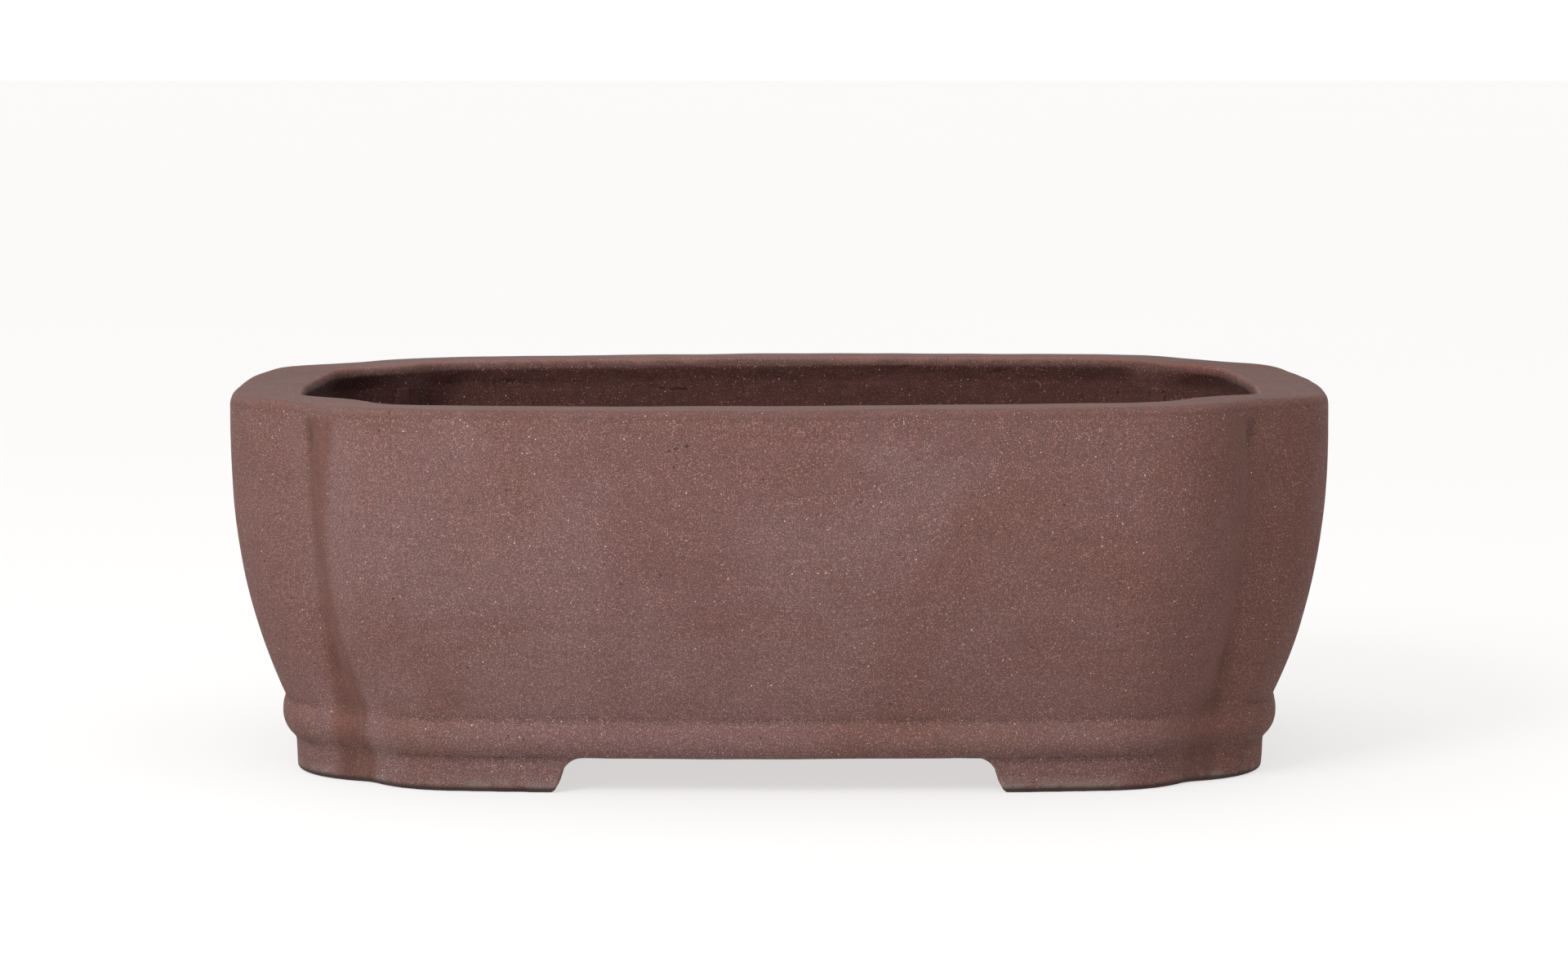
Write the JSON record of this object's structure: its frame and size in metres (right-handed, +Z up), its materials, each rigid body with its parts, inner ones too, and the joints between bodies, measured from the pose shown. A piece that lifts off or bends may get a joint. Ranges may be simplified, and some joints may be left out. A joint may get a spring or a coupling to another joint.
{
  "type": "bonsai pot",
  "caption": "Lobed unglazed stoneware bonsai pot with an inward lip, notched corners, a round belt above the base, low corner feet and drainage holes.",
  "frame": {"origin": "middle of the pot, on the plane its feet stand on", "axes": "+X along the pot's length, +Y towards its back, +Z up"},
  "size_m": [0.254, 0.194, 0.086],
  "materials": {
    "wall_clay": "unglazed, matt, wiped",
    "rim_clay": "unglazed, matt, sponged smooth",
    "belt_clay": "unglazed, matt, wiped",
    "foot_clay": "unglazed, matt, worn at the ground",
    "inside_clay": "unglazed, matt, rough",
    "base_clay": "unglazed, matt"
  },
  "bodies": {
    "root": {"back_belt": "belt_clay", "back_rim": "rim_clay", "back_wall": "wall_clay", "base_slab": "base_clay", "corner_seam_coil_back_left": "inside_clay", "corner_seam_coil_back_right": "inside_clay", "corner_seam_coil_front_left": "inside_clay", "corner_seam_coil_front_right": "inside_clay", "floor_seam_coil": "inside_clay", "foot_back_left": "foot_clay", "foot_back_right": "foot_clay", "foot_front_left": "foot_clay", "foot_front_right": "foot_clay", "front_belt": "belt_clay", "front_rim": "rim_clay", "front_wall": "wall_clay", "left_belt": "belt_clay", "left_rim": "rim_clay", "left_wall": "wall_clay", "right_belt": "belt_clay", "right_rim": "rim_clay", "right_wall": "wall_clay"}
  },
  "joints": []
}
